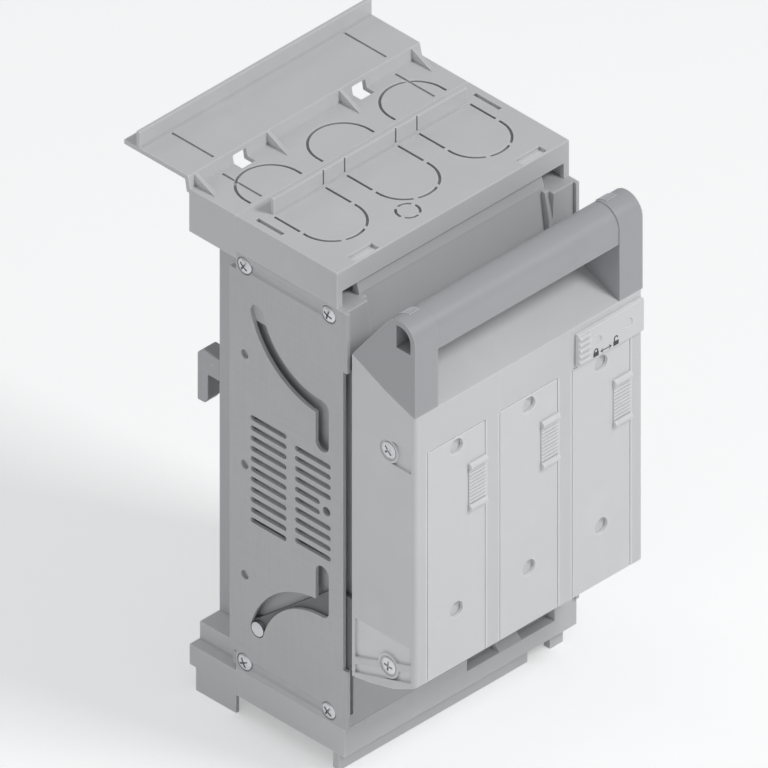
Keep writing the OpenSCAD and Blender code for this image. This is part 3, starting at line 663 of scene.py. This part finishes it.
def tone(name, about, red, green, blue):
    """A colour among the settings."""
    return bpy.props.FloatVectorProperty(name=name, description=about, subtype="COLOR", default=(red, green, blue))


class DISC_PG_edges(bpy.types.PropertyGroup):
    """Roundings of the edges."""

    lid: length("Lid", "Edge rounding of the lid", 0.3)
    grip: length("Grip", "Edge rounding of the handle", 0.2)
    cover: length("Covers", "Edge rounding of the covers", 0.2)
    body: length("Housing", "Edge rounding of the housing", 0.3)
    slide: length("Slides", "Edge rounding of the test covers", 0.12)
    sheet: length("Side plates", "Edge rounding of the side plates", 0.15)
    metal: length("Metal", "Edge rounding of metal pieces and of the lock slide", 0.2)


class DISC_PG_colours(bpy.types.PropertyGroup):
    """Colours of the pieces."""

    lid: tone("Lid", "Colour of the lid", 0.74, 0.75, 0.755)
    grip: tone("Handle", "Colour of the handle", 0.45, 0.46, 0.475)
    cover: tone("Covers", "Colour of the covers", 0.66, 0.67, 0.675)
    housing: tone("Housing", "Colour of the housing", 0.56, 0.57, 0.58)
    plate: tone("Side plates", "Colour of the side plates", 0.58, 0.59, 0.60)
    slide: tone("Slides", "Colour of the test covers and the lock slide", 0.80, 0.81, 0.81)
    mark: tone("Marks", "Colour of the padlock marks", 0.06, 0.06, 0.065)


class DISC_PG_details(bpy.types.PropertyGroup):
    """Sizes of the small pieces that are made here."""

    head_radius: length("Screw head", "Radius of a side plate's screw head", 3.05)
    head_dome: length("Dome", "Height of its dome", 0.95)
    crest_ribs: bpy.props.IntProperty(name="Crest ribs", description="Ribs at each end of the crest", default=6)
    mark_size: length("Padlock mark", "Width of a padlock mark", 2.4)


class DISC_PG_stage(bpy.types.PropertyGroup):
    """Floor, light and camera."""

    ground: tone("Floor", "Colour of the floor", 0.86, 0.86, 0.86)
    key: power("Key light", "Power of the main lamp", 9.0)
    fill: power("Fill light", "Power of each of the two other lamps", 1.3)
    sky: bpy.props.FloatProperty(name="Sky", description="Strength of the light from all round", default=0.36)
    frame_width: length("Frame", "Width of what the camera sees", 247.85)


class DISC_PG_all(bpy.types.PropertyGroup):
    """All settings of the disconnector."""

    edges: bpy.props.PointerProperty(type=DISC_PG_edges)
    colours: bpy.props.PointerProperty(type=DISC_PG_colours)
    details: bpy.props.PointerProperty(type=DISC_PG_details)
    stage: bpy.props.PointerProperty(type=DISC_PG_stage)


def settings():
    """The settings of the open scene."""
    return bpy.context.scene.disconnector


def colour(name):
    """A colour from the settings."""
    return tuple(getattr(settings().colours, name))


finishes = {}


def finish(name):
    """Each finish is made once, when a piece first asks for it."""
    makers = {
        "lid": lambda: moulded("lid_plastic", colour("lid"), 0.44),
        "grip": lambda: moulded("handle_plastic", colour("grip"), 0.42, handled=True),
        "cover": lambda: moulded("cover_plastic", colour("cover"), 0.50, grain=0.03),
        "housing": lambda: moulded("housing_plastic", colour("housing"), 0.55, grain=0.035),
        "cheek": lambda: moulded("cheek_plastic", (0.20, 0.205, 0.21), 0.5),
        "slide": lambda: moulded("slide_plastic", colour("slide"), 0.34, grain=0.008, flow=0.27),
        "plate": lambda: sheet_plastic("side_sheet", colour("plate")),
        "mark": lambda: moulded("mark_print", colour("mark"), 0.5, grain=0.004),
        "zinc": lambda: zinc("zinc_steel", (0.68, 0.69, 0.71)),
        "spring": lambda: bare_metal("spring_steel", (0.56, 0.57, 0.60), 0.34, (0.42, 0.41, 0.40)),
        "copper": lambda: bare_metal("contact_copper", (0.78, 0.48, 0.33), 0.36, (0.50, 0.30, 0.21)),
        "silver": lambda: bare_metal("blade_silver", (0.80, 0.79, 0.76), 0.30, (0.62, 0.58, 0.50)),
        "ceramic": lambda: steatite("fuse_ceramic", (0.82, 0.80, 0.74)),
        "cast": lambda: die_cast("hook_metal", (0.40, 0.41, 0.42)),
    }
    if name not in finishes:
        finishes[name] = makers[name]()
    return finishes[name]


# ------------------------------------------------------------------ operators


class DISC_OT_housing(bpy.types.Operator):
    """Housing, busbar adapter and hooks"""

    bl_idname = "disconnector.housing"
    bl_label = "Housing"

    def execute(self, context):
        edges = settings().edges
        rounded("housing", edges.body, finish("housing"))
        rounded("busbar_adapter", edges.body, finish("housing"))
        hook_edge = 0.6 * MM
        rounded("busbar_hooks", hook_edge, finish("cast"), segments=3)
        return {"FINISHED"}


class DISC_OT_covers(bpy.types.Operator):
    """Covers over the terminals, the busbars and the lower end"""

    bl_idname = "disconnector.covers"
    bl_label = "Covers"

    def execute(self, context):
        for node in ("top_cover", "busbar_cover", "lower_shroud"):
            rounded(node, settings().edges.cover, finish("cover"))
        rounded("bottom_cover", settings().edges.cover, finish("cover"), changes=[(self.panel(), "UNION")])
        return {"FINISHED"}

    def panel(self):
        """What closes the left latch window of the bottom cover. The device has only the right one."""
        left, right, tall, deep = -43.05 * MM, -2.95 * MM, 4.75 * MM, 4.1 * MM
        low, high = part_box("bottom_cover")
        return blocks([((left, low.y, high.z - tall), (right, low.y + deep, high.z))])


class DISC_OT_plates(bpy.types.Operator):
    """Slotted side plates"""

    bl_idname = "disconnector.plates"
    bl_label = "Side plates"

    def execute(self, context):
        for node in ("side_plate_left", "side_plate_right"):
            rounded(node, settings().edges.sheet, finish("plate"), limit=20)
        return {"FINISHED"}


def screw_head(radius, dome):
    """A domed head with a cross recess, lying on the XY plane. Below the dome it has a straight rim."""
    rim = 0.35 * MM
    turns = [math.radians(d) for d in range(0, 90, 10)]
    arc = [(radius * math.cos(a), rim + dome * math.sin(a)) for a in turns]
    reach, half, floor = radius * 0.62, radius * 0.12, dome * 0.1
    corners = [(reach, -half), (reach, half), (half, half), (half, reach), (-half, reach), (-half, half),
               (-reach, half), (-reach, -half), (-half, -half), (-half, -reach), (half, -reach), (half, -half)]
    recess = prism([(x, y, floor) for x, y in corners], (0, 0, rim + dome + MM))
    profile = [(0, 0), (radius, 0)] + arc + [(0, rim + dome)]
    return reshaped(turned(profile), [(recess, "DIFFERENCE")])


class DISC_OT_screws(bpy.types.Operator):
    """Screws of the side plates and of the lid"""

    bl_idname = "disconnector.screws"
    bl_label = "Screws"

    def execute(self, context):
        size = settings().details
        inset, sunk = PLATE_SCREW_R, 0.8 * MM
        low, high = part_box("plate_screws")
        corners = [(y, z) for y in (low.y + inset, high.y - inset) for z in (low.z + inset, high.z - inset)]
        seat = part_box("side_plate_right")[1].x - sunk
        self.heads("plate_screw", "plate_screws", size.head_radius, size.head_dome, seat, corners, seed=4)
        radius, dome, sunk = 3.1 * MM, 0.35 * MM, 0.7 * MM
        low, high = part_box("lid_screws")
        corners = [((low.y + high.y) / 2, z) for z in (low.z + LID_SCREW_R, high.z - LID_SCREW_R)]
        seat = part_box("lid_shell")[1].x - sunk
        self.heads("lid_screw", "lid_screws", radius, dome, seat, corners, seed=9)
        return {"FINISHED"}

    def heads(self, name, node, radius, dome, seat, places, seed):
        """Shows a screw head at each (y, z) place on both sides. The seat is how far out it sits."""
        tree = screw_tree()
        head = loose(name + "_pattern", screw_head(radius, dome))
        sides = []
        for side in (-1, 1):
            base = points([(side * seat, y, z) for y, z in places])
            sides.append(grown(tree, base, {"Head": head, "Lean": (0.0, side * math.pi / 2, 0.0),
                                            "Seed": seed + side, "Material": finish("zinc")}))
        bpy.data.objects.remove(head)
        piece = show(name + "s_shown", joined(sides), node, finish("zinc"), 35)
        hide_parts(node)


class DISC_OT_lid(bpy.types.Operator):
    """Lid shell with its cheeks and pins"""

    bl_idname = "disconnector.lid"
    bl_label = "Lid"

    def execute(self, context):
        rounded("lid_shell", settings().edges.lid, finish("lid"), changes=self.pockets())
        for node in ("lid_cheek_left", "lid_cheek_right"):
            rounded(node, settings().edges.cover, finish("cheek"))
        for node in ("hinge_pins", "guide_pins"):
            rounded(node, settings().edges.metal, finish("zinc"))
        return {"FINISHED"}

    def pockets(self):
        """A shallow pocket in each side of the lid, from the boss of the upper screw to the front."""
        low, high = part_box("lid_screws")
        y, z = (low.y + high.y) / 2, high.z - LID_SCREW_R
        boss, deep, wall = 4.6 * MM, 0.9 * MM, 1.8 * MM
        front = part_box("lid_shell")[0].y + wall
        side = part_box("lid_shell")[1].x
        turns = [math.radians(d) for d in range(-72, 73, 9)]
        outline = [(y - boss * math.cos(a), z + boss * math.sin(a)) for a in turns]
        outline += [(front, outline[-1][1]), (front, outline[0][1])]
        return [(prism([(way * (side + MM), *p) for p in outline], (-way * (MM + deep), 0, 0)), "DIFFERENCE")
                for way in (-1, 1)]


class DISC_OT_handle(bpy.types.Operator):
    """Handle, smooth behind its crest, with the ribs on its arms"""

    bl_idname = "disconnector.handle"
    bl_label = "Handle"

    def execute(self, context):
        rounded("handle", settings().edges.grip, finish("grip"), changes=[(self.fill(), "UNION")])
        show("crest_ribs", self.ribs(), "handle", finish("grip"))
        return {"FINISHED"}

    def ribs(self):
        """Fine ribs across both arms, from the highest line of the crest backwards and down."""
        low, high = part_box("handle")
        inset, wide, thick = 4.6 * MM, 4.8 * MM, 0.3 * MM
        first, apart = 4, 8
        turns = [math.radians(first + apart * k) for k in range(settings().details.crest_ribs)]
        starts = [(x, low.y + CREST_R * (1 + math.sin(a)), high.z - CREST_R * (1 - math.cos(a)))
                  for a in turns for x in (low.x + inset, high.x - inset - wide)]
        return grown(rib_tree(), points(starts), {
            "Count": 1, "Reach": (wide, 0.0, 0.0), "Radius": thick, "Material": finish("grip")})

    def string(self):
        """The ends of the free span of a string drawn tight over the handle, from its crest to its back edge.

        Behind the crest the arms and the grip bar between them are equally high.
        """
        surface = skin(nodes["handle"].data)
        low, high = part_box("handle")
        count, apart = 40, 0.5 * MM
        line = []
        for k in range(count):
            y = low.y + CREST_R + k * apart
            hit = surface.ray_cast(Vector((0, y, high.z + MM)), Vector((0, 0, -1)))[0]
            while len(line) > 1 and ((line[-1][1] - line[-2][1]) * (y - line[-1][0])
                                     < (hit.z - line[-1][1]) * (line[-1][0] - line[-2][0])):
                line.pop()
            line.append((y, hit.z))
        return max(zip(line, line[1:]), key=lambda span: span[1][0] - span[0][0])

    def fill(self):
        """The hollow between the crest and the arch behind it, filled up to the string over the full width."""
        low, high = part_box("handle")
        span, deep = self.string(), 1.6 * MM
        outline = [(low.x, y, z) for y, z in span] + [(low.x, y, z - deep) for y, z in reversed(span)]
        return prism(outline, (high.x - low.x, 0, 0))


class DISC_OT_slides(bpy.types.Operator):
    """Test covers and lock slide, with the padlock marks"""

    bl_idname = "disconnector.slides"
    bl_label = "Slides"

    def execute(self, context):
        for number in "123":
            rounded("test_cover_" + number, settings().edges.slide, finish("slide"))
        rounded("lock_slide", settings().edges.metal, finish("slide"))
        self.marks()
        return {"FINISHED"}

    def marks(self):
        """Two padlocks and the arrow between them, as thin prints on the lower edge of the lock slide."""
        size = settings().details.mark_size
        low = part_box("lock_slide")[0]
        face = low.y + 0.8 * MM
        x, z = low.x + 8.0 * MM, low.z + 1.4 * MM
        apart, lift = 9.1 * MM, 0.6 * MM
        lines = self.padlock(x, z, size, face, 0.0) + self.padlock(x + apart, z, size, face, lift)
        lines += self.arrow(x + size * 0.9, x + apart - size * 0.9, z, face)
        show("padlock_marks", joined(lines), "lock_slide", finish("mark"))

    def padlock(self, x, z, size, face, lift):
        """The body of a padlock and its bow. A bow that is lifted stands open."""
        low, high = (x - size / 2, face - PRINT, z - size * 0.35), (x + size / 2, face, z + size * 0.35)
        half = size * 0.3
        turns = [math.pi - k * math.pi / 10 for k in range(11)]
        bow = [(x - half, z + half)]
        bow += [(x + half * math.cos(a), z + size * 0.55 + lift + half * math.sin(a)) for a in turns]
        if not lift:
            bow += [(x + half, z + half)]
        return [blocks([(low, high)]), self.printed(bow, 0.45 * MM, face)]

    def arrow(self, start, end, z, face):
        """A level line with a tip at both ends."""
        thick, long, half = 0.3 * MM, MM, 0.7 * MM
        lines = [self.printed([(start, z), (end, z)], thick, face)]
        for tip, way in ((start, 1), (end, -1)):
            barbs = [(tip + way * long, z + half), (tip, z), (tip + way * long, z - half)]
            lines.append(self.printed(barbs, thick, face))
        return lines

    def printed(self, path, thick, face):
        """A line as a thin print on a front face."""
        line = swept(path, thick, PRINT)
        line.transform(Matrix.Translation((0, face - PRINT, 0)))
        return line


class DISC_OT_fuses(bpy.types.Operator):
    """Fuse-links"""

    bl_idname = "disconnector.fuses"
    bl_label = "Fuse-links"

    def execute(self, context):
        body_edge = 0.5 * MM
        for number in "123":
            rounded("fuse_body_" + number, body_edge, finish("ceramic"))
            rounded("fuse_caps_" + number, settings().edges.metal, finish("silver"))
        return {"FINISHED"}


class DISC_OT_contacts(bpy.types.Operator):
    """Contacts, springs and terminal bolts"""

    bl_idname = "disconnector.contacts"
    bl_label = "Contacts"

    def execute(self, context):
        for number in "123":
            rounded("upper_contact_" + number, settings().edges.metal, finish("copper"))
            rounded("lower_contact_" + number, settings().edges.metal, finish("copper"))
        spring_edge, bolt_edge = 0.15 * MM, 0.3 * MM
        rounded("jaw_springs", spring_edge, finish("spring"))
        rounded("terminal_bolts", bolt_edge, finish("zinc"))
        return {"FINISHED"}


class DISC_OT_stage(bpy.types.Operator):
    """Floor, backdrop, lamps and camera"""

    bl_idname = "disconnector.stage"
    bl_label = "Stage"

    def execute(self, context):
        stage = settings().stage
        half, ground = 4.0, cad_box[0].z
        corners = [(x * half, y * half, ground) for x, y in ((-1, -1), (1, -1), (1, 1), (-1, 1))]
        mesh = bpy.data.meshes.new("floor")
        mesh.from_pydata(corners, [], [(0, 1, 2, 3)])
        mesh.materials.append(self.paper(stage.ground))
        floor = bpy.data.objects.new("floor", mesh)
        context.scene.collection.objects.link(floor)
        self.sky(context.scene, stage)
        self.lamp("key_lamp", (0.35, -0.95, 1.15), 0.35, stage.key)
        self.lamp("fill_lamp", (-1.1, -0.2, 0.25), 0.8, stage.fill)
        self.lamp("back_lamp", (-0.2, 0.9, 0.8), 0.6, stage.fill)
        self.camera(context.scene, stage.frame_width)
        return {"FINISHED"}

    def paper(self, colour):
        """A pale floor that glows enough to look white to the camera and still takes the object's shadow."""
        material = bpy.data.materials.new("floor_paper")
        material.use_nodes = True
        tree = material.node_tree
        base = tree.nodes["Principled BSDF"]
        base.inputs["Base Color"].default_value = (*colour, 1)
        base.inputs["Roughness"].default_value = 0.9
        base.inputs["Specular IOR Level"].default_value = 0.0
        seen = self.either(tree, "Is Camera Ray", "Is Glossy Ray")
        glow = tree.nodes.new("ShaderNodeMath")
        glow.operation = "MULTIPLY"
        glow.inputs[1].default_value = 0.36
        tree.links.new(seen, glow.inputs[0])
        base.inputs["Emission Color"].default_value = (1, 1, 1, 1)
        tree.links.new(glow.outputs[0], base.inputs["Emission Strength"])
        return material

    def either(self, tree, first, second):
        """1 for light rays of two kinds, 0 for all others."""
        rays = tree.nodes.new("ShaderNodeLightPath")
        seen = tree.nodes.new("ShaderNodeMath")
        seen.operation = "MAXIMUM"
        tree.links.new(rays.outputs[first], seen.inputs[0])
        tree.links.new(rays.outputs[second], seen.inputs[1])
        return seen.outputs[0]

    def sky(self, scene, stage):
        """Even light from all round, white where the camera sees it."""
        world = bpy.data.worlds.new("studio")
        scene.world = world
        world.use_nodes = True
        tree = world.node_tree
        tree.nodes.clear()
        seen = self.either(tree, "Is Camera Ray", "Is Transmission Ray")
        light, white = tree.nodes.new("ShaderNodeBackground"), tree.nodes.new("ShaderNodeBackground")
        light.inputs["Color"].default_value = (0.96, 0.98, 1.0, 1)
        light.inputs["Strength"].default_value = stage.sky
        white.inputs["Color"].default_value = (1, 1, 1, 1)
        mix, out = tree.nodes.new("ShaderNodeMixShader"), tree.nodes.new("ShaderNodeOutputWorld")
        tree.links.new(seen, mix.inputs[0])
        tree.links.new(light.outputs[0], mix.inputs[1])
        tree.links.new(white.outputs[0], mix.inputs[2])
        tree.links.new(mix.outputs[0], out.inputs[0])

    def lamp(self, name, offset, size, power):
        """A square lamp that shines on the middle of the part from an offset, in metres."""
        target = Vector((0, -0.04, 0.0))
        place = target + Vector(offset)
        light = bpy.data.lights.new(name, "AREA")
        light.size = size
        light.energy = power
        lamp = bpy.data.objects.new(name, light)
        bpy.context.scene.collection.objects.link(lamp)
        lamp.location = place
        lamp.rotation_mode = "QUATERNION"
        lamp.rotation_quaternion = (target - place).to_track_quat("-Z", "Y")

    def camera(self, scene, width):
        """An isometric view from the front left and above, as the drawing has it."""
        data = bpy.data.cameras.new("camera")
        data.type = "ORTHO"
        data.ortho_scale = width
        data.clip_end = 20
        camera = bpy.data.objects.new("camera", data)
        scene.collection.objects.link(camera)
        right = Vector((1, -1, 0)).normalized()
        back = Vector((-1, -1, 1)).normalized()
        up = back.cross(right)
        aside, down, away = 25.335 * MM, 5.95 * MM, 1.2
        aim = right * aside - up * down
        camera.rotation_mode = "QUATERNION"
        camera.rotation_quaternion = Matrix((right, up, back)).transposed().to_quaternion()
        camera.location = aim + back * away
        scene.camera = camera
        scene.view_settings.view_transform = "Standard"


class DISC_PT_panel(bpy.types.Panel):
    """Buttons for each group of pieces."""

    bl_idname = "DISC_PT_panel"
    bl_label = "Fuse switch disconnector"
    bl_space_type = "VIEW_3D"
    bl_region_type = "UI"
    bl_category = "Disconnector"

    def draw(self, context):
        for group in ("edges", "colours", "details", "stage"):
            box = self.layout.box()
            box.label(text=group.capitalize())
            part = getattr(context.scene.disconnector, group)
            for name in part.bl_rna.properties.keys():
                if name not in ("rna_type", "name"):
                    box.prop(part, name)
        for maker in makers:
            self.layout.operator(maker.bl_idname)


makers = (DISC_OT_housing, DISC_OT_covers, DISC_OT_plates, DISC_OT_screws, DISC_OT_lid, DISC_OT_handle,
          DISC_OT_slides, DISC_OT_fuses, DISC_OT_contacts, DISC_OT_stage)
classes = (DISC_PG_edges, DISC_PG_colours, DISC_PG_details, DISC_PG_stage, DISC_PG_all, *makers, DISC_PT_panel)


def register():
    for item in classes:
        bpy.utils.register_class(item)
    bpy.types.Scene.disconnector = bpy.props.PointerProperty(type=DISC_PG_all)


def unregister():
    del bpy.types.Scene.disconnector
    for item in reversed(classes):
        bpy.utils.unregister_class(item)


def main():
    """Makes every piece and the stage."""
    register()
    for maker in makers:
        group, name = maker.bl_idname.split(".")
        getattr(getattr(bpy.ops, group), name)()


if __name__ == "__main__":
    main()
